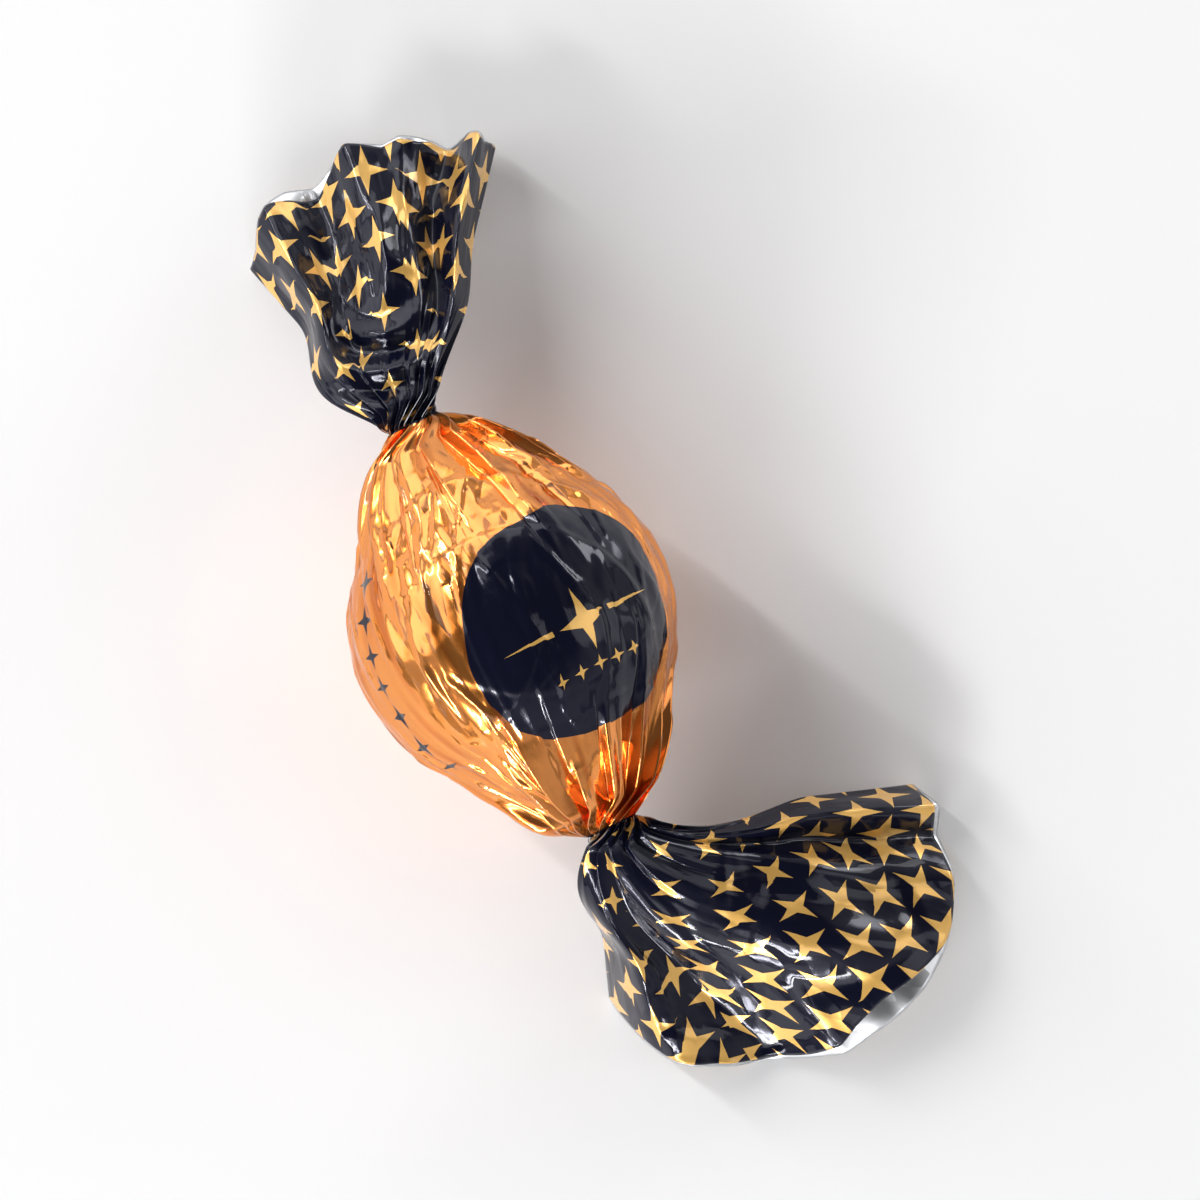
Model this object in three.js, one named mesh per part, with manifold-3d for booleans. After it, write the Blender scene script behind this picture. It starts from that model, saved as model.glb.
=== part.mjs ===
// A chocolate ball in its double-twist foil wrapper, lying on its side.
//
// The wrapper is one tube of foil. It is stretched over the ball, gathered into a narrow
// twisted neck at each end, and opens again past each neck into a flat, folded fan. The
// chocolate can't be seen, so the whole sweet is one closed solid.
//
// Millimetres, +Z up. The long axis lies along X, and the origin is the middle of the small
// flat spot that the ball rests on. The ball's printed disc faces up.
import * as THREE from "three";
import { mergeVertices } from "three/addons/utils/BufferGeometryUtils.js";
import Module from "manifold-3d";

const TURN = 2 * Math.PI;
const DEGREE = Math.PI / 180;

// ---- Driving dimensions ----
const BALL_RADIUS = 15;
const REST_SPOT_RADIUS = 4.2; // the foil is pressed flat where the ball rests
const NECK_REACH = 20.5; // from the ball's centre to each neck
const NECK_RADIUS = 2;
const SLOPE_BULGE = 0.7; // how far the foil stands out from a straight slope down to the neck
const NECK_TWIST = 0.3; // turns that the folds make while they pass through a neck
const TWIST_SPAN = 5; // the length of axis over which they make them

const PLEATS = 16; // folds gathered into each neck
const PLEAT_DEPTH = 2.3; // at its deepest, on the slope between ball and neck
const PLEAT_REACH = 17; // how far the folds run up over the ball, on average
const RIDGE_DEPTH = 0.8; // of the same folds where they pass through a neck
const DENT_DEPTH = 0.1; // gentle unevenness of the foil over the ball

// Each tail is a fan. swing turns it away from the ball's axis, and spread is the angle from
// its middle to one side. belly is how much wider it puffs out just past the neck. A place
// across the fan is from -1 to 1: the cut edge is furthest out at longestAt, and each crease
// is a place across and its height in the cut edge.
const TAILS = {
  straight: {
    side: -1,
    length: 26.5,
    swing: 11.5 * DEGREE,
    spread: 27 * DEGREE,
    longestAt: 0.5,
    shortening: 0.08,
    belly: 2,
    drop: 11.9,
    creases: [
      [-1, -2.2],
      [-0.66, 1.9],
      [-0.34, -1.2],
      [0.08, 2],
      [0.4, 0.8],
      [0.64, -1.8],
      [0.86, 2.4],
      [1, -0.4],
    ],
  },
  bent: {
    side: 1,
    length: 31.5,
    swing: 24 * DEGREE,
    spread: 45 * DEGREE,
    longestAt: 0.3,
    shortening: 0.284,
    belly: 0.8,
    drop: 11.68,
    creases: [
      [-1, -2],
      [-0.72, 1.7],
      [-0.4, -2.2],
      [-0.1, 1.4],
      [0.3, 2.6],
      [0.6, 1.2],
      [0.76, -1.3],
      [0.9, 1.1],
      [1, -1.6],
    ],
  },
};
const FOIL_BUNDLE = 1.6; // thickness of a tail's two layers and the air between them
const CREASE_ROUNDING = 0.5; // 0 would be flat panels between the creases
const FOLD_WANDER = 0.07; // how far a crease strays sideways, as a part of the half fan
const CREST_OVERHANG = 0.016; // how much further out a fold reaches for each mm of its height

// ---- Mesh fineness ----
const STEPS_IN_PLEAT = 5; // four up its long side to the crest, and one down to the next foot
const AROUND = PLEATS * STEPS_IN_PLEAT;
const BALL_STATIONS = 34;
const TAIL_STATIONS = 16;

const BALL_HEIGHT = Math.sqrt(BALL_RADIUS ** 2 - REST_SPOT_RADIUS ** 2);

// ---- Small helpers ----
const mix = (a, b, share) => a + (b - a) * share;
const clamp01 = (value) => Math.min(1, Math.max(0, value));

function smooth(value) {
  const v = clamp01(value);
  return v * v * (3 - 2 * v);
}

// Evenly spread numbers from 0 to 1 that follow no visible order, one for each index.
function scattered(index, start) {
  const golden = 0.618034;
  return (((index * golden + start) % 1) + 1) % 1;
}

// ---- The outline from neck to neck ----
// A circle, and from each neck a line that touches it and bulges out a little.
const neckDistance = Math.hypot(NECK_REACH, NECK_RADIUS);
const touchAngle =
  Math.atan2(NECK_RADIUS, NECK_REACH) + Math.acos(BALL_RADIUS / neckDistance);
const SLOPE_LENGTH = Math.sqrt(neckDistance ** 2 - BALL_RADIUS ** 2);
const ARC_LENGTH = BALL_RADIUS * (Math.PI / 2 - touchAngle);
const HALF_OUTLINE = ARC_LENGTH + SLOPE_LENGTH;

// The point of the outline at a distance along it from the ball's middle.
function outline(along) {
  const distance = Math.abs(along);
  const side = Math.sign(along) || 1;
  if (distance <= ARC_LENGTH) {
    const angle = Math.PI / 2 - distance / BALL_RADIUS;
    return { x: side * BALL_RADIUS * Math.cos(angle), radius: BALL_RADIUS * Math.sin(angle) };
  }
  const share = (distance - ARC_LENGTH) / SLOPE_LENGTH;
  const touch = { x: BALL_RADIUS * Math.cos(touchAngle), radius: BALL_RADIUS * Math.sin(touchAngle) };
  return {
    x: side * mix(touch.x, NECK_REACH, share),
    radius: mix(touch.radius, NECK_RADIUS, share) + SLOPE_BULGE * Math.sin(Math.PI * share),
  };
}

// ---- Folds gathered into the necks ----
// A place round the foil is a share of the way round the tube, so that it stays on the same
// fold from the ball through the neck into the tail. This is its angle round the axis.
// gathered, from 0 to 1, makes some folds wide and others narrow.
function angleAt(around, side, beyondNeck, gathered) {
  const even = TURN * around;
  const unevenness =
    0.16 * Math.sin(even + 1.1 * side) +
    0.1 * Math.sin(2 * even + 4.0 + side) +
    0.06 * Math.sin(3 * even + 2.2);
  const turned = NECK_TWIST * smooth(0.5 + beyondNeck / TWIST_SPAN);
  return even + gathered * unevenness + side * TURN * turned;
}

// One fold is a shingle: it rises slowly to its crest and drops quickly to the next foot.
function shingle(around) {
  const step = Math.round(around * AROUND) % STEPS_IN_PLEAT;
  return step / (STEPS_IN_PLEAT - 1);
}

// Folds start at full depth in the neck and run up the ball, each one its own distance.
function foldOnBall(around, side, fromNeck) {
  const index = Math.floor(around * PLEATS);
  const reach = PLEAT_REACH * mix(0.45, 1.45, scattered(index, 0.3 * side));
  return (shingle(around) - 0.5) * smooth(1.3 * (1 - fromNeck / reach));
}

// In the neck some folds stand out more than others.
function ridgeDepth(around) {
  const index = Math.floor(around * PLEATS);
  return RIDGE_DEPTH * mix(0.4, 1.6, scattered(index, 0.15));
}

function dents(angle, along) {
  return (
    Math.sin(3 * angle + 0.21 * along) * Math.sin(0.33 * along + 1) +
    Math.sin(5 * angle - 0.17 * along + 2) * Math.cos(0.26 * along)
  );
}

function ballPoint(along, around) {
  const { x, radius } = outline(along);
  const side = Math.sign(along) || 1;
  const fromNeck = HALF_OUTLINE - Math.abs(along);
  const gathered = 1 - smooth(fromNeck / HALF_OUTLINE);
  const angle = angleAt(around, side, Math.abs(x) - NECK_REACH, gathered);
  const depth = mix(ridgeDepth(around), PLEAT_DEPTH, smooth(fromNeck / 4));
  const dent = DENT_DEPTH * dents(angle, along) * smooth(fromNeck / 8);
  const r = radius + depth * foldOnBall(around, side, fromNeck) + dent;
  return new THREE.Vector3(x, r * Math.cos(angle), BALL_HEIGHT + r * Math.sin(angle));
}

// ---- A tail ----
// The height of a place across the fan: creases joined by panels that are a little curved.
function folded(across, creases) {
  const next = Math.max(1, creases.findIndex(([at]) => at >= across));
  const [from, low] = creases[next - 1];
  const [to, high] = creases[next];
  const share = (across - from) / (to - from);
  return mix(low, high, mix(share, smooth(share), CREASE_ROUNDING));
}

// share runs from 0 at the neck to 1 at the cut edge. Round the flattened tube, the cosine of
// the angle says how far across the fan a point is, and its sine is positive on the upper
// layer and negative on the lower one.
function tailPoint(tail, share, around) {
  const ridged = 1 - smooth(share * 2.2);
  const beyondNeck = share * tail.length;
  const angle = angleAt(around, tail.side, beyondNeck, ridged);
  const across = Math.cos(angle);
  const layer = Math.sin(angle);

  const wander = FOLD_WANDER * Math.sin(7 * share + 5 * across) * smooth(3 * share);
  const strayed = clamp01((across + wander * (1 - across ** 2) + 1) / 2) * 2 - 1;
  const fold = folded(strayed, tail.creases);
  const cutEdge = 1 - tail.shortening * (across - tail.longestAt) ** 2;
  const reach = beyondNeck * cutEdge * (1 + CREST_OVERHANG * share * fold);
  const heading = tail.swing * smooth(share * 1.6) + across * tail.spread;

  const ridge = (ridgeDepth(around) / NECK_RADIUS) * (shingle(around) - 0.5) * ridged;
  const opened = smooth(share * 2);
  const halfThickness = mix(NECK_RADIUS, FOIL_BUNDLE / 2, opened) * (1 + ridge);
  const offset = Math.sign(layer) * Math.abs(layer) ** mix(1, 0.5, opened) * halfThickness;
  const height = fold * smooth(share * 1.3) - tail.drop * share ** 1.2;
  const halfWidth = NECK_RADIUS * (1 + ridge) + tail.belly * Math.sin(Math.PI * smooth(share * 1.5));

  return new THREE.Vector3(
    tail.side * (NECK_REACH + reach * Math.cos(heading)),
    reach * Math.sin(heading) + halfWidth * across,
    BALL_HEIGHT + height + offset,
  );
}

// ---- One tube from cut edge to cut edge ----
function wrapperRings() {
  const places = Array.from({ length: AROUND }, (_, i) => i / AROUND);
  const rings = [];
  // Stations crowd towards the neck, where the folds turn fastest.
  const tailShares = Array.from(
    { length: TAIL_STATIONS },
    (_, i) => ((i + 1) / TAIL_STATIONS) ** 1.3,
  );
  for (const share of tailShares.toReversed()) {
    rings.push(places.map((around) => tailPoint(TAILS.straight, share, around)));
  }
  for (let i = 0; i <= BALL_STATIONS; i++) {
    const along = HALF_OUTLINE * ((2 * i) / BALL_STATIONS - 1);
    rings.push(places.map((around) => ballPoint(along, around)));
  }
  for (const share of tailShares) {
    rings.push(places.map((around) => tailPoint(TAILS.bent, share, around)));
  }
  return rings;
}

// Closes the rings into a skin. At each end the upper layer is joined to the lower one,
// point by point, which is the thin cut edge of the tail.
function skinOf(rings) {
  const positions = rings.flat().flatMap((p) => [p.x, p.y, p.z]);
  const faces = [];
  const at = (ring, i) => ring * AROUND + (((i % AROUND) + AROUND) % AROUND);
  for (let ring = 0; ring < rings.length - 1; ring++) {
    for (let i = 0; i < AROUND; i++) {
      faces.push(at(ring, i), at(ring, i + 1), at(ring + 1, i));
      faces.push(at(ring + 1, i), at(ring, i + 1), at(ring + 1, i + 1));
    }
  }
  const closeEnd = (ring, side) => {
    const turnedSteps = Math.round(NECK_TWIST * AROUND);
    const corner = -side * turnedSteps; // the place that the twist brings to one side of the fan
    for (let i = 0; i < AROUND / 2; i++) {
      const quad = [i, i + 1, -i - 1, -i].map((step) => at(ring, corner + step));
      const [a, b, c, d] = side < 0 ? quad.reverse() : quad;
      if (a !== d) faces.push(a, b, d);
      if (b !== c) faces.push(b, c, d);
    }
  };
  closeEnd(0, -1);
  closeEnd(rings.length - 1, 1);
  const geometry = new THREE.BufferGeometry();
  geometry.setAttribute("position", new THREE.Float32BufferAttribute(positions, 3));
  geometry.setIndex(faces);
  return geometry;
}

// ---- Solids ----
const wasm = await Module();
wasm.setup();

function solidOf(geometry) {
  const bare = geometry.clone();
  bare.deleteAttribute("normal");
  bare.deleteAttribute("uv");
  const merged = mergeVertices(bare, 1e-4);
  return new wasm.Manifold(
    new wasm.Mesh({
      numProp: 3,
      vertProperties: merged.attributes.position.array,
      triVerts: new Uint32Array(merged.index.array),
    }),
  );
}

function geometryOf(solid) {
  const mesh = solid.getMesh();
  const geometry = new THREE.BufferGeometry();
  geometry.setAttribute("position", new THREE.BufferAttribute(mesh.vertProperties, 3));
  geometry.setIndex(new THREE.BufferAttribute(mesh.triVerts, 1));
  return geometry;
}

// Whatever would reach below the table is pressed flat against it.
function restedOnTable(solid) {
  const size = 200;
  const table = new THREE.BoxGeometry(size, size, size).translate(0, 0, -size / 2);
  return solid.subtract(solidOf(table));
}

const foil = new THREE.MeshStandardMaterial({
  name: "wrapper_foil",
  color: 0xe08a28,
  roughness: 0.25,
  metalness: 0.9,
});
const sweet = new THREE.Mesh(
  geometryOf(restedOnTable(solidOf(skinOf(wrapperRings())))),
  foil,
);
sweet.name = "wrapped_chocolate_ball";

const part = new THREE.Group();
part.add(sweet);
export default part;
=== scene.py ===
# %% [markdown]
# # A chocolate ball in twisted foil
# The real thing is a round chocolate in one tube of printed aluminium foil. The foil lies
# tight on the ball, is gathered and twisted into a neck at each end, and opens past each
# neck into a fan. The model follows that: one skin over the ball, and two thin-walled fans
# that start in the necks. All sizes are in millimetres until a mesh is made.

# %% Load the frame
import bpy
import numpy as np
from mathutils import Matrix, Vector


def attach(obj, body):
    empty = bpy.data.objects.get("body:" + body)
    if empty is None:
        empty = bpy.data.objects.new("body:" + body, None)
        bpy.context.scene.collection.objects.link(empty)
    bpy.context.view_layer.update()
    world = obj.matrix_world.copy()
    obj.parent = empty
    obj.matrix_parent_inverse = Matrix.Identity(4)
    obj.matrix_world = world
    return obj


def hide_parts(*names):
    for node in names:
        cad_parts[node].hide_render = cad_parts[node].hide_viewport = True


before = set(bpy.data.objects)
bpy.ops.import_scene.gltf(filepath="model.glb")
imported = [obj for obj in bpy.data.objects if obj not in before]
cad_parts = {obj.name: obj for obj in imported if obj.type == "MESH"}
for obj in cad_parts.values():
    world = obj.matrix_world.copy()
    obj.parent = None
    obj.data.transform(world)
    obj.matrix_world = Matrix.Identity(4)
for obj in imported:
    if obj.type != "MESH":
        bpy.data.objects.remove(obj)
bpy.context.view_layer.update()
CAD_NODE = "wrapped_chocolate_ball"
MM = 0.001

# %% [markdown]
# ## Driving sizes
# The wrapped ball is 30 mm across and its necks, where the foil was twisted, are 41 mm
# apart. The shape could be read off the frame's solid, but its pleats would have to be
# searched for. So these are the sizes that the solid was built from, and the fine surface
# made from them lies on it.

# %% Sizes of the ball and the necks
TURN = 2 * np.pi
BALL_RADIUS = 15.0
REST_SPOT_RADIUS = 4.2  # the foil is pressed flat where the ball rests
NECK_REACH = 20.5  # from the ball's centre to each neck
NECK_RADIUS = 2.0
SLOPE_BULGE = 0.7  # how far the foil stands out from a straight slope down to the neck
NECK_TWIST = 0.3  # turns that the pleats make while they pass through a neck
TWIST_SPAN = 5.0  # the length of axis over which they make them
PLEATS = 16  # gathered into each neck
PLEAT_DEPTH = 2.3  # at its deepest, on the slope between ball and neck
PLEAT_REACH = 17.0  # how far the pleats run up over the ball, on average
RIDGE_DEPTH = 0.8  # of the same pleats where they pass through a neck
BALL_HEIGHT = np.sqrt(BALL_RADIUS**2 - REST_SPOT_RADIUS**2)
print("ball", 2 * BALL_RADIUS, "mm, necks", 2 * NECK_REACH, "mm apart,", PLEATS, "pleats")

# %% Place of the printed disc
DISC_RADIUS = 11.15
DISC_ALONG = 2.4  # its middle, from the ball's middle towards +X
DISC_ANGLE = np.radians(65.5)  # it faces up and a little to the +Y side
print("disc", 2 * DISC_RADIUS, "mm across")

# %% Sizes of the two tails
# A place across a fan is from -1 to 1. swing turns the fan away from the ball's axis, spread
# is the angle from its middle to one side, and belly is how much wider it puffs out just past
# the neck. The cut edge is furthest out at longest_at. A crease is a place across and its
# height in the cut edge.
# cut_back: the place across where the upper layer is cut back, half its width, and the depth.
# rolls: the swags' height, their middle, how far they reach, their pitch and their centre.
# calm: the middle and the radius of a place where the crumples are weaker.
STRAIGHT_TAIL = {
    "side": -1,
    "length": 26.5,
    "swing": np.radians(11.5),
    "spread": np.radians(27),
    "longest_at": 0.5,
    "shortening": 0.08,
    "belly": 2.0,
    "cut_back": (-0.35, 0.3, 0.05),
    "rolls": (0.8, (-27.5, -0.5), 7.5, 3.6, (-33.5, 2.5)),
    "calm": ((-28, -1), 7),
    "drop": 11.9,
    "creases": ((-1, -2.2), (-0.66, 1.9), (-0.34, -1.2), (0.08, 2), (0.4, 0.8),
                (0.64, -1.8), (0.86, 2.4), (1, -0.4)),
}
BENT_TAIL = {
    "side": 1,
    "length": 31.5,
    "swing": np.radians(24),
    "spread": np.radians(45),
    "longest_at": 0.3,
    "shortening": 0.284,
    "belly": 0.8,
    "cut_back": (0.12, 0.38, 0.065),
    "rolls": (0.42, (38, 14), 16, 7.5, (-16, 40.6)),
    "calm": ((39, 14), 11),
    "drop": 11.68,
    "creases": ((-1, -2), (-0.72, 1.7), (-0.4, -2.2), (-0.1, 1.4), (0.3, 2.6),
                (0.6, 1.2), (0.76, -1.3), (0.9, 1.1), (1, -1.6)),
}
FOIL_BUNDLE = 1.6  # thickness of a tail's two layers and the air between them
CREASE_ROUNDING = 0.5  # 0 would be flat panels between the creases
FOLD_WANDER = 0.07  # how far a crease strays sideways, as a part of the half fan
CREST_OVERHANG = 0.016  # how much further out a fold reaches for each mm of its height
FOIL_WALL = 0.08  # real foil is thinner, but its cut edge has to show
print("tails", STRAIGHT_TAIL["length"], "and", BENT_TAIL["length"], "mm long")

# %% Small helpers


def mix(a, b, share):
    """a where share is 0, b where it is 1, and in between by proportion."""
    return a + (b - a) * share


def smooth(value):
    """0 below 0, 1 above 1, and an S-curve between them: 3 v squared less 2 v cubed."""
    v = np.clip(value, 0, 1)
    return v * v * (3 - 2 * v)


def scattered(index, start):
    """Steps of the golden ratio, less their whole part: even, but in no visible order."""
    return (index * 0.618034 + start) % 1


print("smooth of 0.25, 0.5 and 0.75:", smooth(np.array([0.25, 0.5, 0.75])))
print("scattered 0, 1, 2, 3:", scattered(np.arange(4), 0).round(2))

# %% [markdown]
# ## The foil over the ball
# Foil can't stretch, so over a ball it must pleat. A sphere with a bump map would have the
# right colour but no pleats in its outline, and simulated cloth is too soft for metal foil.
# Here the skin is a grid of rings along the axis and columns round it. Each column keeps its
# place on the foil, so the pleats run into the neck and turn with it, as real ones do.

# %% The outline from neck to neck
neck_distance = np.hypot(NECK_REACH, NECK_RADIUS)
touch_angle = np.arctan2(NECK_RADIUS, NECK_REACH) + np.arccos(BALL_RADIUS / neck_distance)
SLOPE_LENGTH = np.sqrt(neck_distance**2 - BALL_RADIUS**2)
ARC_LENGTH = BALL_RADIUS * (np.pi / 2 - touch_angle)
HALF_OUTLINE = ARC_LENGTH + SLOPE_LENGTH


def outline(along):
    """A circle, then a line that touches it and bulges a little on its way to the neck."""
    distance = np.abs(along)
    angle = np.pi / 2 - np.minimum(distance, ARC_LENGTH) / BALL_RADIUS
    share = np.clip((distance - ARC_LENGTH) / SLOPE_LENGTH, 0, 1)
    x = np.sign(along) * mix(BALL_RADIUS * np.cos(angle), NECK_REACH, share)
    radius = mix(BALL_RADIUS * np.sin(angle), NECK_RADIUS, share)
    return x, radius + SLOPE_BULGE * np.sin(np.pi * share)


print("outline from neck to neck", round(2 * HALF_OUTLINE, 1), "mm")

# %% Columns of the foil
LONG_SIDE_COLUMNS = 17  # up a pleat's long side to its crest
SHORT_SIDE_COLUMNS = 7  # from the crest back down to the next pleat's foot
CREST = 0.8
COLUMNS_IN_PLEAT = LONG_SIDE_COLUMNS + SHORT_SIDE_COLUMNS
COLUMNS = PLEATS * COLUMNS_IN_PLEAT
# Each slow wave's height in radians, its waves round the foil, and its shift and the part of
# that which changes its sign with the side.
UNEVEN_WAVES = ((0.16, 1, 0, 1.1), (0.1, 2, 4, 1), (0.06, 3, 2.2, 0))

in_pleat = np.concatenate([
    CREST * np.arange(LONG_SIDE_COLUMNS) / LONG_SIDE_COLUMNS,
    mix(CREST, 1, np.arange(SHORT_SIDE_COLUMNS) / SHORT_SIDE_COLUMNS),
])
pleat_share = np.tile(in_pleat, PLEATS)
pleat_index = np.repeat(np.arange(PLEATS), COLUMNS_IN_PLEAT)
around = (pleat_index + pleat_share) / PLEATS
print(COLUMNS, "columns in", PLEATS, "pleats")


def shingle(share):
    """One pleat's height: it rises in a straight line to the crest and drops behind it."""
    return np.where(share < CREST, share / CREST, (1 - share) / (1 - CREST))


def neck_turn(side, beyond_neck):
    """The part of the twist that a neck has made so far, as an angle."""
    return side * TURN * (NECK_TWIST * smooth(0.5 + beyond_neck / TWIST_SPAN))


def angle_at(around, side, beyond_neck, gathered):
    """The place round the foil as an angle, plus the neck's twist. Three slow waves make
    some pleats wide and others narrow where the foil is gathered."""
    even = TURN * around
    unevenness = sum(height * np.sin(waves * even + shift + by_side * side)
                     for height, waves, shift, by_side in UNEVEN_WAVES)
    return even + gathered * unevenness + neck_turn(side, beyond_neck)


# %% [markdown]
# ## Pleats and small folds
# At a neck there is far more foil than the ball needs. It lies in pleats that all lean the
# same way, with small folds between them that die out up the ball. A displacement texture
# could draw lines, but couldn't lay foil over foil. So each pleat is a shingle: a long rise,
# a crest and a steep drop, leaning over its neighbour, and it fades where the foil is tight.

# %% Pleats and the folds between them
RIDGE_SPREAD = (0.4, 1.6)  # the lowest and the tallest ridge in a neck, over RIDGE_DEPTH
REACH_SPREAD = (0.45, 1.45)  # the shortest and the longest pleat, over PLEAT_REACH
NECK_BLEND = 4.0  # mm from a neck to where its ridges have become full pleats
OVERLAP = 0.4  # mm that a pleat's crest lies over its neighbour
SMALL_FOLDS = 60  # at each end
FOLD_START = 3.0  # mm from a neck to where they have their full height
FOLD_LENGTHS = (6, 24)
FOLD_HEIGHTS = (0.12, 0.42)
FOLD_RUNS = (0.5, 2)  # the width of a fold's gentle side
FOLD_DROP = 0.25  # the width of its steep side
HIDDEN_IN_FOLD = 2.2  # the foil that a fold hides, over the fold's height
SLIP_IN_FOLD = 2.5  # how far the foil slides along a fold at most, over the fold's height
RELAX = 5.0  # mm over which the print catches up again behind a fold
PLEAT_SLIP = 1.0  # mm that the foil of a whole pleat slides along it at most

ridge_depth = RIDGE_DEPTH * mix(*RIDGE_SPREAD, scattered(pleat_index, 0.15))
print("pleats", ridge_depth.min().round(2), "to", ridge_depth.max().round(2), "mm high in a neck")


def pleat_reach(side):
    """How far each pleat runs up the ball from its neck."""
    return PLEAT_REACH * mix(*REACH_SPREAD, scattered(pleat_index, 0.3 * side))


def pleat_slip(from_neck, presence):
    """How far each pleat's foil has slid along it, up the ball or down, where it is folded."""
    way = 2 * scattered(pleat_index, 0.6) - 1
    return PLEAT_SLIP * way * presence * smooth(from_neck / NECK_BLEND)


def fading(share):
    """1 near the neck, falling to 0 where a fold ends."""
    return smooth(1.3 * (1 - share))


def fold_section(offset, run, drop):
    """A fold cut across: a straight rise over the run, then a straight, steeper drop."""
    return np.clip(np.where(offset < 0, 1 + offset / run, 1 - offset / drop), 0, 1)


def print_jump(offset):
    """The print's jump behind a fold: nothing before it, 1 just behind it, then dying away
    as e to the power of the distance."""
    return np.where(offset > 0, np.exp(-np.abs(offset) / RELAX), 0)


def add_fold(sums, number, fade, offset, run, drop, way):
    """Adds one fold to the heights, to how far the foil slides along its folds, and to how
    much foil they hide. Both moves of the print start at the fold and die away behind it."""
    height, slip, shift = sums
    jump = fade * print_jump(offset)
    height += fade * fold_section(offset, run, drop)
    slip += SLIP_IN_FOLD * (2 * scattered(number, 0.2) - 1) * jump
    shift += way * HIDDEN_IN_FOLD * jump


def small_folds(around, from_neck, radius, random):
    """Narrow folds that start in the neck and die out at different distances up the ball.
    Also how far they shift the print, along the axis and round it."""
    sums = np.zeros((3, *np.broadcast(around, radius).shape))
    for number in range(SMALL_FOLDS):
        place = random.uniform(0, 1)
        length = random.uniform(*FOLD_LENGTHS)
        tallest = random.uniform(*FOLD_HEIGHTS)
        run = random.uniform(*FOLD_RUNS)
        way = random.choice([-1, 1])
        offset = way * ((around - place + 0.5) % 1 - 0.5) * TURN * radius
        fade = tallest * smooth(from_neck / FOLD_START) * fading(from_neck / length)
        add_fold(sums, number, fade, offset, run, FOLD_DROP, way)
    return sums


print(SMALL_FOLDS, "small folds at each end")

# %% [markdown]
# ## Facets
# Between its folds, foil is flat: it bends but doesn't stretch. A noise texture gives soft
# lumps, which look like clay. Sums of zigzags give flat facets with sharp edges, which is
# what crumpled foil has. Each zigzag crosses the ball in its own direction and fades out.

# %% Facets of crumpled foil
KNOTS = 90  # corners of one zigzag
ALL_FACETS = 22  # zigzags over the ball
LONG_FACETS = 14  # those of them whose edges run roughly from neck to neck
LONG_STRAY = 0.22  # how far these edges stray from that, as a tangent
FACET_WIDTHS = (0.8, 2.6)  # mm from corner to corner, on average over one zigzag
LONG_HEIGHT = 0.14
SHORT_HEIGHT = 0.07


def zigzag(value, pitch, random):
    """Straight lines between knots at random heights from -1 to 1, a quarter of a pitch to
    one and three quarters apart."""
    knots = np.cumsum(random.uniform(0.25, 1.75, KNOTS)) * pitch
    heights = random.uniform(-1, 1, KNOTS)
    return np.interp(value, knots - knots[KNOTS // 2], heights)


def unit(vector):
    """The vector at length 1."""
    return vector / np.linalg.norm(vector)


def ball_facets(spots, random):
    """Long facets that run roughly from neck to neck, then small ones in any direction.
    A spot's value is its distance along the zigzag's own direction, and each zigzag fades
    out over the half of the ball that faces away from its centre."""
    height = np.zeros(spots.shape[:-1])
    for number in range(ALL_FACETS):
        is_long = number < LONG_FACETS
        turn = random.uniform(0, TURN)
        lean = random.normal(0, LONG_STRAY if is_long else 1)
        direction = unit(np.array([lean, np.cos(turn), np.sin(turn)]))
        pitch = random.uniform(*FACET_WIDTHS)
        tallest = LONG_HEIGHT if is_long else SHORT_HEIGHT
        centre = unit(random.normal(0, 1, 3))
        present = smooth(0.4 + 1.1 * (spots @ centre) / BALL_RADIUS)
        height += tallest * present * zigzag(spots @ direction, pitch, random)
    return height


print(LONG_FACETS, "long zigzags and", ALL_FACETS - LONG_FACETS, "others over the ball")

# %% [markdown]
# ## Creases
# Where foil was once bent, it keeps a thin straight mark that ends by itself. A bump map
# could draw it, but then the outline and the broad highlights wouldn't break there. So each
# crease is a small fold in the skin, with its own middle, direction and length. As whole
# arrays, hundreds of them take a second.

# %% Creases in the foil on the ball
CREASES = 300
CREASED_HALF = 17.0  # mm of the outline to each side of the ball's middle
CROSSWISE_EVERY = 4  # each fourth crease is short and low, and runs across the others
CREASE_STRAY = 0.2  # radians that the others stray from the axis
CROSSWISE_TURNS = (0.5, 2.5)  # radians
HALF_LENGTHS = (1.2, 6.5)
CROSSWISE_HALF_LENGTHS = (0.8, 2)
CREASE_RUNS = (0.4, 1.3)
CREASE_DROP = 0.22
CREASE_HEIGHTS = (0.05, 0.22)
CROSSWISE_HEIGHT = 0.6  # over that of the others


def ball_creases(along, angle, radius, random):
    """Single creases, most of them roughly from neck to neck. Each is a straight fold on
    flat foil that fades towards both ends as 1 less the square of the distance."""
    sums = np.zeros((3, *angle.shape))
    for number in range(CREASES):
        crosswise = number % CROSSWISE_EVERY == 0
        middle = random.uniform(-CREASED_HALF, CREASED_HALF)
        place = random.uniform(0, TURN)
        direction = random.normal(0, CREASE_STRAY)
        direction += crosswise * random.uniform(*CROSSWISE_TURNS)
        direction += np.pi * random.choice([0, 1])
        lengths = CROSSWISE_HALF_LENGTHS if crosswise else HALF_LENGTHS
        half_length = random.uniform(*lengths)
        run = random.uniform(*CREASE_RUNS)
        tallest = random.uniform(*CREASE_HEIGHTS) * (CROSSWISE_HEIGHT if crosswise else 1)
        dp = along - middle
        dq = ((angle - place + np.pi) % TURN - np.pi) * radius
        along_fold = dp * np.cos(direction) + dq * np.sin(direction)
        offset = dq * np.cos(direction) - dp * np.sin(direction)
        fade = tallest * np.clip(1 - (along_fold / half_length) ** 2, 0, 1)
        add_fold(sums, number, fade, offset, run, CREASE_DROP, np.cos(direction))
    return sums


print(CREASES, "creases")

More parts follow.
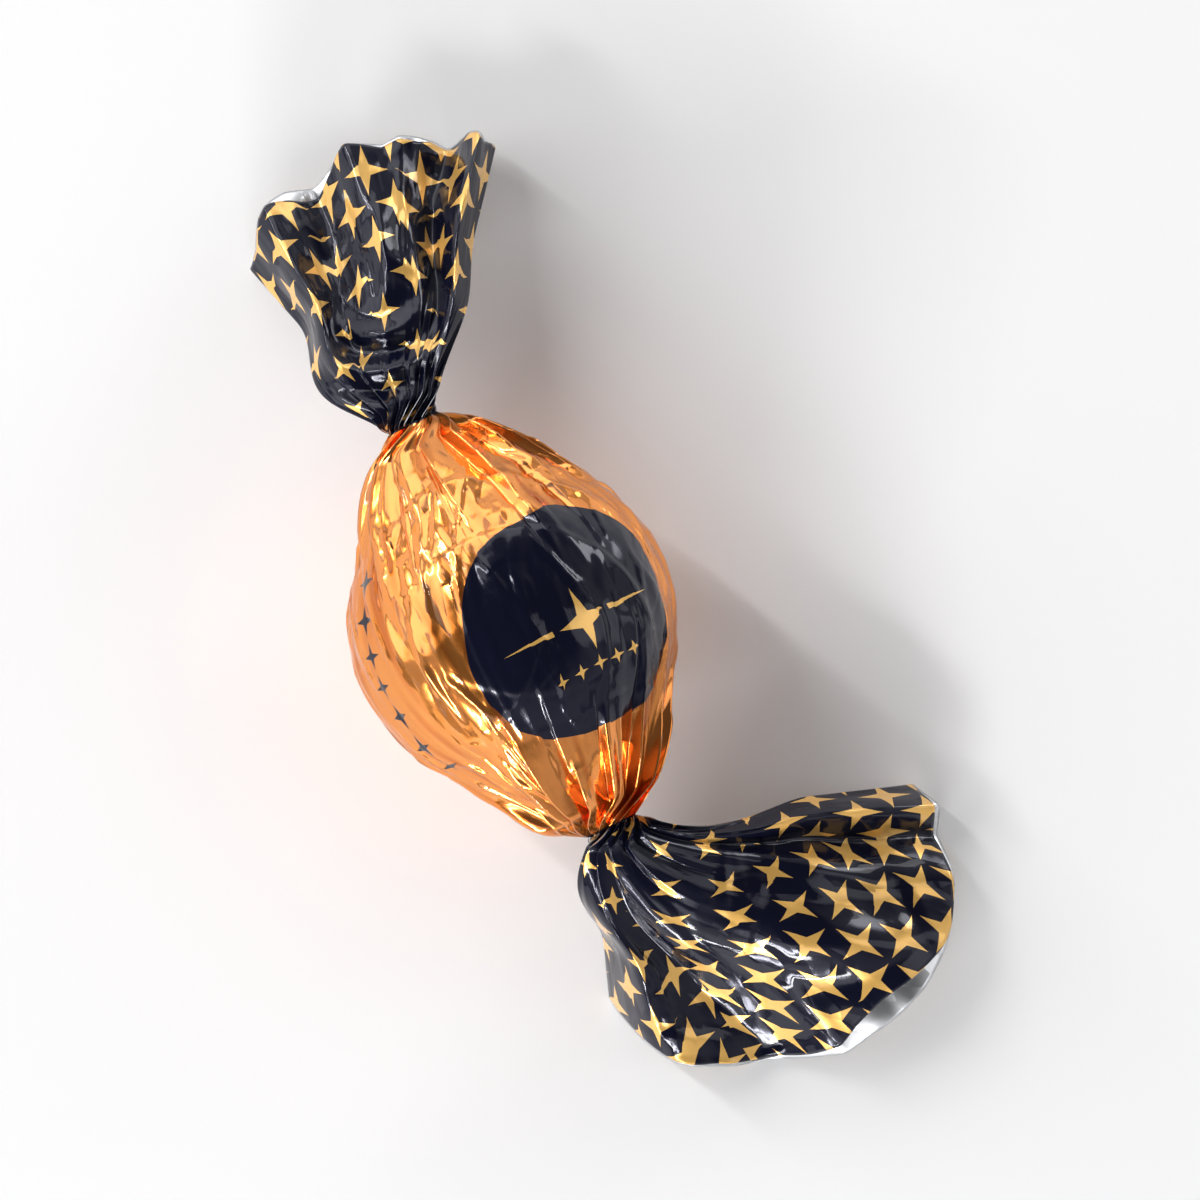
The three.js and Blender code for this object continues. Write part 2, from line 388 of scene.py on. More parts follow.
# %% The skin over the ball
BALL_RINGS = 254
INKED_CALM = 0.7  # the facets' share that is left on the disc, where the ink is thick
CRUMPLED_FROM = 12.0  # mm from a neck to where the facets and creases have their full height


def ball_skin():
    """Every ring is the outline's circle with the pleats, folds and facets on it."""
    random = np.random.default_rng(11)
    along = HALF_OUTLINE * np.linspace(-1, 1, BALL_RINGS)[:, None]
    x, radius = outline(along)
    from_neck = HALF_OUTLINE - np.abs(along)
    gathered = 1 - smooth(from_neck / HALF_OUTLINE)
    depth = mix(ridge_depth, PLEAT_DEPTH, smooth(from_neck / NECK_BLEND))
    presence, folds, slip, shift = np.zeros((4, BALL_RINGS, COLUMNS))
    for side in (-1, 1):
        rows = np.flatnonzero(np.sign(along[:, 0]) == side)
        near = from_neck[rows]
        presence[rows] = fading(near / pleat_reach(side))
        folds[rows], slip[rows], shift[rows] = small_folds(around, near, radius[rows], random)
    lean = OVERLAP * presence * smooth(from_neck / FOLD_START) * shingle(pleat_share) ** 2
    side = np.sign(along)
    angle = angle_at(around, side, np.abs(x) - NECK_REACH, gathered) + lean / radius
    spots = np.stack([x + 0 * angle, radius * np.cos(angle), radius * np.sin(angle)], axis=-1)
    from_disc = np.hypot(along - DISC_ALONG, radius * (angle - DISC_ANGLE))
    calm = mix(INKED_CALM, 1, smooth(from_disc / DISC_RADIUS - 0.5))
    loose = smooth(from_neck / CRUMPLED_FROM) * calm
    creases, *print_moves = ball_creases(along, angle, radius, random)
    r = radius + depth * presence * (shingle(pleat_share) - 0.5) + folds
    r += loose * (ball_facets(spots, random) + creases)
    points = np.stack([x + 0 * r, r * np.cos(angle), BALL_HEIGHT + r * np.sin(angle)], axis=-1)
    points[..., 2] = np.maximum(points[..., 2], 0)
    slip += loose * print_moves[0] + pleat_slip(from_neck, presence)
    shift += loose * print_moves[1]
    return points, along + slip, along, angle, radius, presence, shift


points, u, *place_on_foil = ball_skin()
print("ball skin", np.ptp(points, axis=(0, 1)).round(1), "mm")

# %% [markdown]
# ## Print that follows the foil
# The print was made on flat foil. Where a pleat hides a strip of foil, the print jumps. A
# UV map in flat millimetres can do that, because each face corner has its own place in it.

# %% Where each place on the ball lies in the print
SIDE_ANGLE = np.radians(150)  # a row of small stars faces the other side
SIDE_PART = np.radians((122, 205))  # the foil between these angles takes that row's print
SIDE_PRINT = 200.0  # where that row lies in the print, clear of all the rest
HIDDEN_SHARE = 0.5  # how much of the foil that a pleat takes up is hidden by its neighbour


def ball_print(along, angle, radius, presence, shift):
    """Along the axis the print isn't changed. Round it, the place is the true distance from
    the disc's middle, or from the side row's, plus what the folds on the way have hidden."""
    even = TURN * around
    of_side = (even > SIDE_PART[0]) & (even < SIDE_PART[1])
    middle_angle = np.where(of_side, SIDE_ANGLE, DISC_ANGLE)
    start = np.where(of_side, SIDE_PRINT, 0)
    turned = neck_turn(np.sign(along), np.abs(outline(along)[0]) - NECK_REACH)
    strip = presence * TURN * (BALL_RADIUS - radius) / PLEATS * HIDDEN_SHARE
    hidden = np.cumsum(np.where(pleat_share == 0, strip, 0), axis=1)
    middle = int(COLUMNS * DISC_ANGLE / TURN)
    hidden = np.where(of_side, 0, hidden - hidden[:, middle:middle + 1])
    following = np.concatenate([angle[:, 1:], angle[:, :1] + TURN], axis=1)
    here, there = (start + hidden + radius * (a - turned - middle_angle)
                   for a in (angle, following))
    return here + shift, there + np.roll(shift, -1, axis=1)


v_here, v_there = ball_print(*place_on_foil)
print("print along the ball from", u.min().round(1), "to", u.max().round(1), "mm")

# %% [markdown]
# ## The fans
# Past a neck the tube of foil is two layers, joined at the fan's two sides. A flat plane cut
# to shape would have no folded sides and no second layer. Here each ring is the whole
# tube, flattened: the cosine of the angle is the place across, and its sine says which layer.

# %% The fan's surface
TAIL_RINGS = 116


def folded(across, creases):
    """Height across the fan: from crease to crease in a straight line, half rounded."""
    at, heights = np.array(creases).T
    segment = np.clip(np.searchsorted(at, across, side="left") - 1, 0, len(at) - 2)
    share = (across - at[segment]) / (at[segment + 1] - at[segment])
    eased = mix(share, smooth(share), CREASE_ROUNDING)
    return mix(heights[segment], heights[segment + 1], eased)


def fan_places(tail, share):
    """The place across the fan and the layer, from the angle round the twisted tube, and
    how much is left of the neck's ridges."""
    ridged = 1 - smooth(share * 2.2)
    angle = angle_at(around, tail["side"], share * tail["length"], ridged)
    return np.cos(angle), np.sin(angle), ridged


def fan_surface(tail, share):
    """Rings from the neck at share 0 to the cut edge at share 1. The distance from the neck
    grows with the share, the heading turns from side to side, and the folds rise with it.
    What smooth(share * 2) changes is changed in full halfway out, and so on."""
    across, layer, ridged = fan_places(tail, share)
    wander = FOLD_WANDER * np.sin(7 * share + 5 * across) * smooth(3 * share)
    fold = folded(np.clip(across + wander * (1 - across**2), -1, 1), tail["creases"])
    cut_edge = 1 - tail["shortening"] * (across - tail["longest_at"]) ** 2
    reach = share * tail["length"] * cut_edge * (1 + CREST_OVERHANG * share * fold)
    heading = tail["swing"] * smooth(share * 1.6) + across * tail["spread"]
    ridge = ridge_depth / NECK_RADIUS * (shingle(pleat_share) - 0.5) * ridged
    half_width = NECK_RADIUS * (1 + ridge) + tail["belly"] * np.sin(np.pi * smooth(share * 1.5))
    opened = smooth(share * 2)
    half_thickness = mix(NECK_RADIUS, FOIL_BUNDLE / 2, opened) * (1 + ridge)
    offset = np.sign(layer) * np.abs(layer) ** mix(1, 0.5, opened) * half_thickness
    height = fold * smooth(share * 1.3) - tail["drop"] * share**1.2
    x = tail["side"] * (NECK_REACH + reach * np.cos(heading))
    y = reach * np.sin(heading) + half_width * across
    return np.stack([x, y, BALL_HEIGHT + height + offset], axis=-1)


for tail in (STRAIGHT_TAIL, BENT_TAIL):
    cut_edge = fan_surface(tail, np.ones((1, 1)))
    print("a fan's cut edge is", np.ptp(cut_edge[..., 1]).round(1), "mm wide")

# %% [markdown]
# ## Crumples of a fan
# A fan keeps creases that run out from its neck, flat facets between them, and swags where
# it bunches up just past the neck. Its cut edge waves, because nothing holds it. Simulated
# cloth makes round waves, so the ball's zigzags are used again: some for both layers, and
# some for one layer alone, so that the layers part here and there.

# %% Crumples in a fan
RADIAL_WIDTH = 17.0  # mm from the middle of a fan to its side, for the zigzags' pitch
RADIAL_ZIGZAGS = 9  # with creases that run out from the neck
RADIAL_PITCHES = (1.1, 4.5)
RADIAL_STRAY = 0.06  # how far these creases snake, as a part of the half fan
RADIAL_SNAKES = (2, 6)  # radians of snaking from the neck to the cut edge
RADIAL_MIDDLES = (0.2, 1)  # where on the way out a zigzag is strongest
RADIAL_REACHES = (0.3, 0.7)
RADIAL_STEEPNESS = 0.13  # height for each mm of pitch past the finest
FINEST_PITCH = 0.8
LOCAL_ZIGZAGS = 24
LOCAL_FROM = 0.35  # the nearest to the neck, on the way out
LOCAL_PITCHES = (0.9, 2.8)
LOCAL_STEEPNESS = 0.15
LOCAL_SIZES = (4, 9)  # radius of the place that one zigzag crumples


def bump(value, middle, half_width):
    """1 at the middle, falling smoothly to 0 at half_width on both sides."""
    return smooth(1 - np.abs(value - middle) / half_width)


def near(points, place, reach):
    """1 at a place seen from above, falling smoothly to 0 at the reach all round it."""
    return bump(np.hypot(points[..., 0] - place[0], points[..., 1] - place[1]), 0, reach)


def fan_facets(points, across, tail, random):
    """Creases that run out from the neck and branch, and facets in any direction. Both are
    zigzags: the first by the place across the fan, the others by distance."""
    x, y = points[..., 0], points[..., 1]
    height = np.zeros(x.shape)
    reach = np.hypot(np.abs(x) - NECK_REACH, y) / tail["length"]
    for _ in range(RADIAL_ZIGZAGS):
        pitch = random.uniform(*RADIAL_PITCHES)
        snake = random.uniform(*RADIAL_SNAKES) * reach + random.uniform(0, TURN)
        wander = RADIAL_STRAY * np.sin(snake)
        present = bump(reach, random.uniform(*RADIAL_MIDDLES), random.uniform(*RADIAL_REACHES))
        value = RADIAL_WIDTH * (across + wander)
        tallest = RADIAL_STEEPNESS * (pitch - FINEST_PITCH)
        height += tallest * present * smooth(2 * reach) * zigzag(value, pitch, random)
    for _ in range(LOCAL_ZIGZAGS):
        turn = random.uniform(0, np.pi)
        middle = random.uniform(LOCAL_FROM, 1)
        heading = tail["swing"] + random.uniform(-1, 1) * tail["spread"]
        mx = tail["side"] * (NECK_REACH + middle * tail["length"] * np.cos(heading))
        my = middle * tail["length"] * np.sin(heading)
        present = near(points, (mx, my), random.uniform(*LOCAL_SIZES))
        value = (x - mx) * np.cos(turn) + (y - my) * np.sin(turn)
        pitch = random.uniform(*LOCAL_PITCHES)
        height += LOCAL_STEEPNESS * pitch * present * zigzag(value, pitch, random)
    return height


print("each layer of a fan:", RADIAL_ZIGZAGS, "zigzags across it and", LOCAL_ZIGZAGS, "local ones")

# %% Swags and the flutter of the cut edge
ROUNDED, PEAKED = 0.7, 0.3  # how much a swag has of a sine wave and of a zigzag
FLUTTER = 0.45
FLUTTER_PITCH = 3.2
FLUTTER_FROM, FLUTTER_SPAN = 0.8, 0.2  # where on the way to the cut edge it starts and grows


def cross_rolls(points, tail):
    """Rolls across the fan, sagging like swags: a sine wave mixed with a zigzag by the
    distance from the swags' centre, tall where the foil bunches up and fading out round that
    place. The arcsine of a sine is a zigzag, and 0.98 takes off its sharpest points."""
    height, middle, reach, pitch, (centre_x, centre_y) = tail["rolls"]
    value = np.hypot(points[..., 0] - centre_x, points[..., 1] - centre_y)
    wave = np.sin(TURN * value / pitch)
    wave = ROUNDED * wave + PEAKED * np.arcsin(0.98 * wave)
    return height * near(points, middle, reach) * wave


def rim_flutter(across, share, random):
    """The cut edge waves up and down where nothing holds it: a zigzag across, which grows
    from nothing over the last part of the way out."""
    wave = zigzag(RADIAL_WIDTH * across, FLUTTER_PITCH, random) * FLUTTER
    return wave * smooth((share - FLUTTER_FROM) / FLUTTER_SPAN)


print("swags", STRAIGHT_TAIL["rolls"][3], "and", BENT_TAIL["rolls"][3], "mm apart")

# %% The cut edge and the crumples of one fan
UPPER_CUT, UPPER_PITCH = 0.012, 5  # the upper layer's own raggedness, and its pitch in mm
BOTH_CUT, BOTH_PITCH = 0.018, 2.4  # the same for both layers
ONE_LAYER = 1.5  # how sharply the two layers are told apart at the fan's sides
CALMED = 0.7  # the crumples' share that is missing in the calm place
SHARED_HEIGHT = 0.8
MOST_APART = 0.5  # mm that one layer's own crumples may move it
OWN_HEIGHT = 0.6
CURL = 0.9  # mm that the lower layer curls up where the upper one is cut back
CURL_FROM, CURL_SPAN = 0.88, 0.12
CRUMPLE_START = 6  # the crumples have their full height a sixth of the way out


def ragged_edge(across, layer, tail, random):
    """The share of each column's length that is cut away: small zigzags, and where the upper
    layer is cut back a notch as well, so that the lower layer's inside shows past it."""
    at, half_width, depth = tail["cut_back"]
    edge = UPPER_CUT * (1 + zigzag(RADIAL_WIDTH * across, UPPER_PITCH, random))
    edge = smooth(ONE_LAYER * layer) * (edge + depth * bump(across, at, half_width))
    return edge + BOTH_CUT * zigzag(RADIAL_WIDTH * across, BOTH_PITCH, random)


def crumple_height(points, across, layer, share, tail, random):
    """Crumples that both layers share, then each layer's own. These are kept under
    MOST_APART by the hyperbolic tangent, and fade out where one layer meets the other."""
    loose = 1 - CALMED * near(points, *tail["calm"])
    shared = fan_facets(points, across, tail, random) * loose
    height = SHARED_HEIGHT * (shared + rim_flutter(across, share, random))
    height = height + cross_rolls(points, tail)
    for way in (1, -1):
        own = fan_facets(points, across, tail, random) + rim_flutter(across, share, random)
        own = loose * MOST_APART * np.tanh(OWN_HEIGHT * own / MOST_APART)
        height += smooth(0.5 + ONE_LAYER * way * layer) * own
    return smooth(share * CRUMPLE_START) * height


def curl(across, layer, share, tail):
    """How far the lower layer's edge curls up in the notch of the upper layer."""
    at, half_width, _ = tail["cut_back"]
    near_edge = smooth((share - CURL_FROM) / CURL_SPAN)
    return CURL * (smooth(-ONE_LAYER * layer) * bump(across, at, half_width) * near_edge)


print("one layer's own crumples move it", MOST_APART, "mm at most")

# %% [markdown]
# ## Print on a fan
# The stars keep their true size on the folded fan, because foil doesn't stretch. A print
# projected from above would squeeze them on every slope. So the map is measured on the
# finished surface, along the grid's own edges: out from the neck, and from the middle of
# each flat panel to its sides.

# %% Where each place on a fan lies in the print


def steps_between(points, axis):
    """The lengths of the grid's edges along one axis."""
    return np.linalg.norm(np.diff(points, axis=axis), axis=-1)


def fan_print(points, across, layer, tail):
    """Out from the neck the print keeps its true size, and so it does square to that. It is
    laid out from the middle of each panel, and what doesn't fit between two panels is
    hidden in the groove between them."""
    at, heights = np.array(tail["creases"]).T
    grooves = at[(heights < 0) & (np.abs(at) < 1)]
    # Ten is more than a layer has panels, so it keeps the lower layer's panels apart.
    panel_of = np.searchsorted(grooves, across[-1]) + 10 * (layer[-1] < 0)
    first = np.flatnonzero(panel_of != np.roll(panel_of, 1))[0]
    points, panel_of = np.roll(points, -first, axis=1), np.roll(panel_of, -first)
    out = np.concatenate([np.zeros((1, COLUMNS)), np.cumsum(steps_between(points, 0), axis=0)])
    closed = np.concatenate([points, points[:, :1]], axis=1)
    closed_out = np.concatenate([out, out[:, :1]], axis=1)
    squared = steps_between(closed, 1) ** 2 - np.diff(closed_out, axis=1) ** 2
    square = np.cumsum(np.sqrt(np.maximum(squared, 0)), axis=1)
    square = np.concatenate([np.zeros((len(square), 1)), square], axis=1)
    starts = np.flatnonzero(panel_of != np.roll(panel_of, 1))
    ends = np.append(starts[1:], COLUMNS)
    middle = np.repeat((starts + ends) // 2, ends - starts)
    offset = square[-1, middle] - square[:, middle]
    here, there = square[:, :-1] + offset, square[:, 1:] + offset
    return (np.roll(a, first, axis=1) for a in (HALF_OUTLINE + out, here, there))


print("a fan's print starts", HALF_OUTLINE.round(1), "mm from the ball's middle")

# %% [markdown]
# ## Making the meshes
# All three skins are grids of rings and columns, so one function makes them. bmesh could
# build them face by face, but whole arrays are faster, and they give each corner of a face
# its place in the print, which is what lets the print break at a fold.

# %% From a grid to a mesh
PRINT_MAP = "print"
FOIL_MAP = "foil"


def corner_places(u, v_here, v_there):
    """A UV pair for each corner of each quad, in the order of the quads' corners."""
    u_after = np.roll(u, -1, axis=1)
    corners_u = np.stack([u[:-1], u_after[:-1], u_after[1:], u[1:]], axis=-1)
    corners_v = np.stack([v_here[:-1], v_there[:-1], v_there[1:], v_here[1:]], axis=-1)
    return np.stack([corners_u, corners_v], axis=-1).reshape(-1, 2)


def grid_mesh(name, points, u, v_here, v_there, closed_ends):
    """Quads between neighbouring rings and columns, with the last column joined to the
    first. The print's map has v_here and v_there at the two ends of a column's face. The
    foil's map has the columns' even spacing instead, so it never jumps."""
    rings = len(points)
    index = np.arange(rings * COLUMNS).reshape(rings, COLUMNS)
    after = np.roll(index, -1, axis=1)
    quads = np.stack([index[:-1], after[:-1], after[1:], index[1:]], axis=-1)
    faces = quads.reshape(-1, 4).tolist()
    even = np.append(around, 1) * TURN * BALL_RADIUS
    even = np.broadcast_to(even, (rings, COLUMNS + 1))
    maps = {PRINT_MAP: corner_places(u, v_here, v_there),
            FOIL_MAP: corner_places(u, even[:, :-1], even[:, 1:])}
    if closed_ends:
        faces += [index[0, ::-1].tolist(), index[-1].tolist()]
    mesh = bpy.data.meshes.new(name)
    mesh.from_pydata((points.reshape(-1, 3) * MM).tolist(), [], faces)
    for map_name, uv in maps.items():
        uv = np.concatenate([uv, np.tile(uv[-1], (len(mesh.loops) - len(uv), 1))])
        layer = mesh.uv_layers.new(name=map_name)
        layer.data.foreach_set("uv", uv.astype(np.float32).ravel())
    mesh.polygons.foreach_set("use_smooth", np.ones(len(faces), dtype=bool))
    mesh.update()
    piece = bpy.data.objects.new(name, mesh)
    bpy.context.scene.collection.objects.link(piece)
    print(name, len(faces), "faces")
    return piece


print("UV maps", PRINT_MAP, "and", FOIL_MAP)

# %% The foil on the ball
body_foil = grid_mesh("foil_over_ball", points, u, v_here, v_there, closed_ends=True)

# %% [markdown]
# ## The wall of the foil
# Foil has two sides: it is printed outside and bare metal inside, and both show at the cut
# edge. A second surface inside the first would have to be joined to it all round. The
# Solidify modifier does that, and gives the inside and the rim their own material.

# %% The two fans
RING_CROWDING = 1.15  # above 1, rings lie closer together near the neck


def make_fan(name, tail, seed):
    """The fan's surface with its print, its crumples, and a wall that lets its inside show.
    The share of each ring shrinks by the ragged edge, more so the further out it is."""
    random = np.random.default_rng(seed)
    shares = np.linspace(0, 1, TAIL_RINGS)[:, None] ** RING_CROWDING
    across, layer, _ = fan_places(tail, np.ones((1, 1)))
    share = shares * (1 - ragged_edge(across, layer, tail, random) * shares**2)
    points = fan_surface(tail, share)
    across, layer, _ = fan_places(tail, share)
    out, v_here, v_there = fan_print(points, across, layer, tail)
    crumpled = crumple_height(points, across, layer, share, tail, random)
    points[..., 2] += crumpled + curl(across, layer, share, tail)
    points[..., 2] = np.maximum(points[..., 2], FOIL_WALL)
    if tail["side"] < 0:
        points, out, v_here, v_there = (a[::-1] for a in (points, out, v_here, v_there))
    piece = grid_mesh(name, points, out, v_here, v_there, closed_ends=False)
    wall = piece.modifiers.new("foil_wall", "SOLIDIFY")
    wall.thickness = FOIL_WALL * MM
    wall.offset = -1
    wall.material_offset = 1
    wall.material_offset_rim = 1
    return piece


straight_fan = make_fan("straight_tail", STRAIGHT_TAIL, seed=5)
bent_fan = make_fan("bent_tail", BENT_TAIL, seed=8)

# %% [markdown]
# ## The printed foil
# The foil is bare aluminium under coloured lacquer. Orange lacquer lets the metal shine
# through, and so does the gold of the stars, but navy ink hides it. One material holds the
# whole print and works out from the flat millimetres which of them lies where. A picture
# would blur at the stars' thin tips; a formula stays sharp.

# %% Colours of the print
ORANGE = (0.87, 0.31, 0.065, 1)  # clear lacquer on metal
CREASE_SHADE_ORANGE = (0.62, 0.15, 0.012, 1)  # painted shade along the creases: a darker, deeper orange
ORANGE_SHEEN = (0.93, 0.56, 0.30, 1)  # where the foil is seen at a flat angle
INK_SHEEN = (0.84, 0.84, 1, 1)  # the same for ink
NAVY = (0.0035, 0.004, 0.0135, 1)
GOLD = (0.91, 0.53, 0.135, 1)
SILVER = (0.74, 0.75, 0.77, 1)
ORANGE_METALLIC = 0.9  # the rest is colour that the lacquer scatters
GOLD_METALLIC = 0.45
print("lacquer", ORANGE[:3], "ink", NAVY[:3], "gold", GOLD[:3])

# %% [markdown]
# ## Stars and ornaments
# Staggered rows of four-pointed stars grow from the neck to the cut edge. Stars of thin mesh
# over the foil would have to follow each crumple. In the print's flat millimetres a star is
# one line of arithmetic on the distances from its middle. The disc has a plain ornament of
# the same stars, and a row of small ones runs along the ball's side.

# %% Sizes of the print
BAND_START = 24.6  # the navy starts this far from the ball's middle
STAR_PITCH_OUT = 7.4
STAR_PITCH_ROUND = 5.2
STAR_REACH_OUT = 2.95
STAR_REACH_ROUND = 2.3
STAR_CORNER = 0.21  # the inner corners, as a share of the reach; 0.5 is a diamond
STAR_CURVE = 0.85  # 1 would be straight edges
SMALLEST_STAR = 0.42  # where the navy starts, over the full size
FULL_SIZE_AT = 52.0  # from the ball's middle
print("stars", 2 * STAR_REACH_OUT, "by", 2 * STAR_REACH_ROUND, "mm at the cut edge")

# %% Helpers for formulas in nodes


def add_node(tree, kind, inputs, output=0, **settings):
    """The output of a new node. Each input is a fixed value or another node's output."""
    node = tree.nodes.new("ShaderNode" + kind)
    for name, value in settings.items():
        setattr(node, name, value)
    for name, value in inputs.items():
        if isinstance(value, bpy.types.NodeSocket):
            tree.links.new(value, node.inputs[name])
        else:
            node.inputs[name].default_value = value
    return node.outputs[output]


def calc(tree, operation, *inputs):
    """One Math node, with its inputs in their order."""
    return add_node(tree, "Math", dict(enumerate(inputs)), operation=operation)


def star(tree, p, q, reach_p, reach_q):
    """1 inside a four-pointed star. Of p and q, each over its reach, the larger plus the
    smaller times a steepness makes 1 on the edge from a tip to an inner corner."""
    parts = [calc(tree, "ABSOLUTE", calc(tree, "DIVIDE", value, reach))
             for value, reach in ((p, reach_p), (q, reach_q))]
    larger = calc(tree, "MAXIMUM", *parts)
    smaller = calc(tree, "POWER", calc(tree, "MINIMUM", *parts), STAR_CURVE)
    edge = calc(tree, "MULTIPLY_ADD", smaller, (1 - STAR_CORNER) / STAR_CORNER**STAR_CURVE, larger)
    return calc(tree, "LESS_THAN", edge, 1)


def from_cell_middle(tree, value, pitch, shift):
    """How far a value is from the middle of its cell, in a row of cells one pitch long."""
    fraction = calc(tree, "FRACT", calc(tree, "ADD", calc(tree, "DIVIDE", value, pitch), shift))
    return calc(tree, "MULTIPLY", calc(tree, "SUBTRACT", fraction, 0.5), pitch)


def star_rows(tree, out, round_):
    """Two lattices of stars, one shifted by half a pitch both ways. A star's size follows
    how far out its middle is."""
    masks = []
    for shift in (0, 0.5):
        p = from_cell_middle(tree, out, STAR_PITCH_OUT, shift)
        q = from_cell_middle(tree, round_, STAR_PITCH_ROUND, shift)
        middle = calc(tree, "SUBTRACT", out, p)
        grown = calc(tree, "DIVIDE", calc(tree, "SUBTRACT", middle, BAND_START),
                     FULL_SIZE_AT - BAND_START)
        grown = calc(tree, "MINIMUM", calc(tree, "MAXIMUM", grown, 0), 1)
        size = calc(tree, "MULTIPLY_ADD", grown, 1 - SMALLEST_STAR, SMALLEST_STAR)
        masks.append(star(tree, p, q, calc(tree, "MULTIPLY", size, STAR_REACH_OUT),
                          calc(tree, "MULTIPLY", size, STAR_REACH_ROUND)))
    return calc(tree, "MAXIMUM", *masks)


print("rows of stars", STAR_PITCH_OUT / 2, "mm apart")

# %% Ornament of the disc and row at the side
MIDDLE_STAR = (3.0, 2.5)  # its reach along the ball and round it
RULES_FROM = 3.1  # from the star's middle
RULE_HALF = 0.4  # half the thickness that a rule would have at the star's middle
RULE_THINS = 0.05  # what it loses of that in each mm
ROW_OFFSET, ROW_PITCH, ROW_HALF = 4.4, 1.9, 4.7
ROW_STAR = (0.85, 0.7)
SIDE_PITCH, SIDE_HALF = 3.2, 11.2
SIDE_STAR = (1.4, 1.2)


def disc_ornament(tree, p, q):
    """A star between two rules that thin towards their ends, over a row of small stars."""
    middle = star(tree, p, q, *MIDDLE_STAR)
    off_middle = calc(tree, "ABSOLUTE", q)
    taper = calc(tree, "MULTIPLY_ADD", off_middle, -RULE_THINS, RULE_HALF)
    rules = calc(tree, "LESS_THAN", calc(tree, "ABSOLUTE", p), taper)
    rules = calc(tree, "MULTIPLY", rules, calc(tree, "GREATER_THAN", off_middle, RULES_FROM))
    row_p = calc(tree, "SUBTRACT", p, ROW_OFFSET)
    row = star(tree, row_p, from_cell_middle(tree, q, ROW_PITCH, 0.5), *ROW_STAR)
    row = calc(tree, "MULTIPLY", row, calc(tree, "LESS_THAN", off_middle, ROW_HALF))
    return calc(tree, "MAXIMUM", calc(tree, "MAXIMUM", middle, rules), row)


def side_row(tree, along, q):
    """Small stars in one row that runs from neck to neck, far round from the disc."""
    p = from_cell_middle(tree, along, SIDE_PITCH, 0.5)
    stars = star(tree, p, calc(tree, "SUBTRACT", q, SIDE_PRINT), *SIDE_STAR)
    inside = calc(tree, "LESS_THAN", calc(tree, "ABSOLUTE", along), SIDE_HALF)
    return calc(tree, "MULTIPLY", stars, inside)


print("row at the side", np.degrees(SIDE_ANGLE - DISC_ANGLE).round(), "degrees round from the disc")

# %% [markdown]
# ## The finest crumple
# Close up, foil shows flat spots about a millimetre wide. As mesh they would take millions
# of faces, and bump from soft noise makes round lumps like clay. So the normal leans another
# way in each cell of a Voronoi pattern, which is flat inside a cell and breaks at its edge.
# Thin streaks of ridged noise run through it from neck to neck.

# %% Helpers for the crumple's nodes


def mixed(tree, share, first, second):
    """A colour between two others. The Mix node has its colours at inputs 6 and 7 and at
    output 2. Its other sockets are for numbers and vectors."""
    inputs = {0: share, 6: first, 7: second}
    return add_node(tree, "Mix", inputs, output=2, data_type="RGBA")


def vector_calc(tree, operation, *inputs):
    """One Vector Math node, with a vector and perhaps another vector or a scale."""
    names = (0, "Scale" if operation == "SCALE" else 1)
    return add_node(tree, "VectorMath", dict(zip(names, inputs)), operation=operation)


def noise(tree, vector, scale, detail, kind="FBM"):
    """One Noise Texture node's value."""
    inputs = {"Vector": vector, "Scale": scale, "Detail": detail}
    return add_node(tree, "TexNoise", inputs, noise_type=kind)


def map_place(tree, map_name):
    """The place in one of the two UV maps."""
    return add_node(tree, "UVMap", {}, uv_map=map_name)


def split_up(tree, vector):
    """A vector's X, Y and Z."""
    return add_node(tree, "SeparateXYZ", {0: vector}).node.outputs


print("helpers: one node each for a mixed colour, a vector's arithmetic, noise and a map")

# %% Fine crumple of handled foil
STREAK_STRETCH = 0.12  # streaks are long from neck to neck and narrow round the foil
STREAKS_PER_MM = 0.55
BALL_STREAKS = 1.2  # height of the streaks on the ball
FAN_STREAKS = 0.5
FACET_STRETCH = 0.24
FACETS_PER_MM = 0.85
FACET_TILT = 0.16  # of the finest facets, as the sideways part of their direction
DISC_TILT = 0.05  # the same on the disc, where the ink is thick
LUMPS_PER_METRE, LUMP_HEIGHT = 350, 0.25  # so about 3 mm apart
GRAIN_PER_METRE, GRAIN_HEIGHT = 6500, 0.06
BUMP_DEPTH = 0.05  # mm for a height of 1
BUMP_STRENGTH = 0.4


